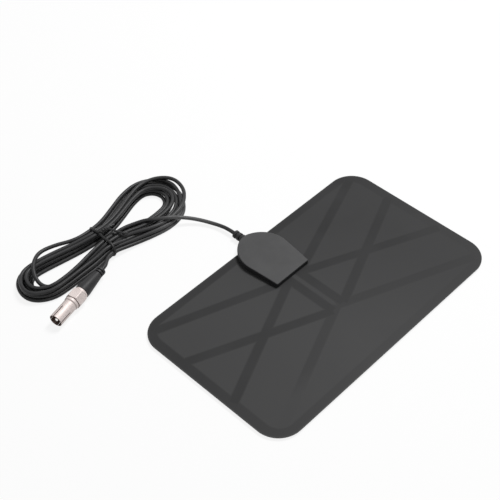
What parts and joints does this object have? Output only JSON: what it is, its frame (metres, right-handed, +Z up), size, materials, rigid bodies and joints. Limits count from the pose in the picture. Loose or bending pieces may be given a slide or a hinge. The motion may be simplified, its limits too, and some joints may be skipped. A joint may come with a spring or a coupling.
{
  "type": "tv antenna",
  "caption": "Flat film indoor TV antenna: foil element inside a dark rounded sheet, slim shield-shaped housing on one long edge, and a thin coaxial lead in a tied hank with an aerial plug.",
  "frame": {"origin": "under the middle of the antenna without its lead, on the surface that it lies on", "axes": "+X along the sheet's long sides, +Y towards the edge with the housing and the lead, +Z up from the sheet"},
  "size_m": [0.246, 0.231, 0.011],
  "materials": {
    "film": "satin dark grey film",
    "foil": "dark foil seen through the film",
    "housing": "fine matt moulded plastic",
    "steel": "plated",
    "board": "green lacquered circuit board",
    "ferrite": "dull grey ferrite",
    "copper": "copper",
    "brass": "plain brass",
    "jacket": "satin black soft jacket",
    "dielectric": "milky white",
    "grip": "satin black moulding",
    "tie": "black coated wire",
    "nickel": "bright nickel plate",
    "insulator": "dark moulded insulator"
  },
  "bodies": {
    "root": {"front_film": "film", "back_film": "film", "antenna_foil": "foil", "housing_top_cover": "housing", "housing_back_cover": "housing", "housing_screws": "steel", "balun_board": "board", "balun_core": "ferrite", "balun_winding": "copper", "feed_rivets": "brass", "lead_jacket_end": "jacket", "lead_dielectric_end": "dielectric", "lead_conductor_end": "copper", "lead_shield_end": "copper", "strain_relief": "grip", "antenna_lead": "jacket", "cable_hank": "jacket", "plug_tail": "jacket", "twist_tie": "tie", "plug_boot": "grip", "connector_ferrule": "nickel", "connector_nut": "nickel", "adapter_shell": "nickel", "adapter_insulator": "insulator", "adapter_pin": "nickel", "plug_jacket_end": "jacket", "plug_dielectric": "dielectric", "plug_conductor": "copper"}
  },
  "joints": []
}
